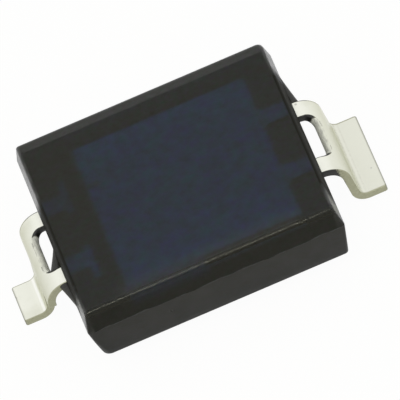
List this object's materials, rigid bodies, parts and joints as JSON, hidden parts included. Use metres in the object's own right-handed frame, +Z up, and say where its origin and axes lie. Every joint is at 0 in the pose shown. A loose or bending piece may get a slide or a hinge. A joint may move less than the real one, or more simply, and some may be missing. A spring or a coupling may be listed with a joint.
{
  "type": "infrared photodiode",
  "caption": "Surface-mount infrared photodiode: a black filter-resin block with a chip on a metal carrier inside and slotted gull-wing leads at its ends.",
  "frame": {"origin": "on the seating plane under the feet, below the middle of the block", "axes": "+X from the bond lead to the carrier lead, +Z up out of the light-sensitive face"},
  "size_m": [0.0062, 0.0038, 0.0014],
  "materials": {
    "filter_resin": "black epoxy that blocks daylight, faintly see-through, with a fine satin sheen from the mould",
    "tinned_strip": "pale satin tin plating on a copper alloy strip, with grey cut edges",
    "silicon": "polished silicon with a dark blue anti-reflection layer",
    "adhesive": "grey silver-filled adhesive",
    "gold_wire": "bright drawn gold wire"
  },
  "bodies": {
    "root": {"filter_body": "filter_resin", "carrier_lead": "tinned_strip", "bond_lead": "tinned_strip", "photodiode_chip": "silicon", "die_attach": "adhesive", "bond_wire": "gold_wire"}
  },
  "joints": []
}
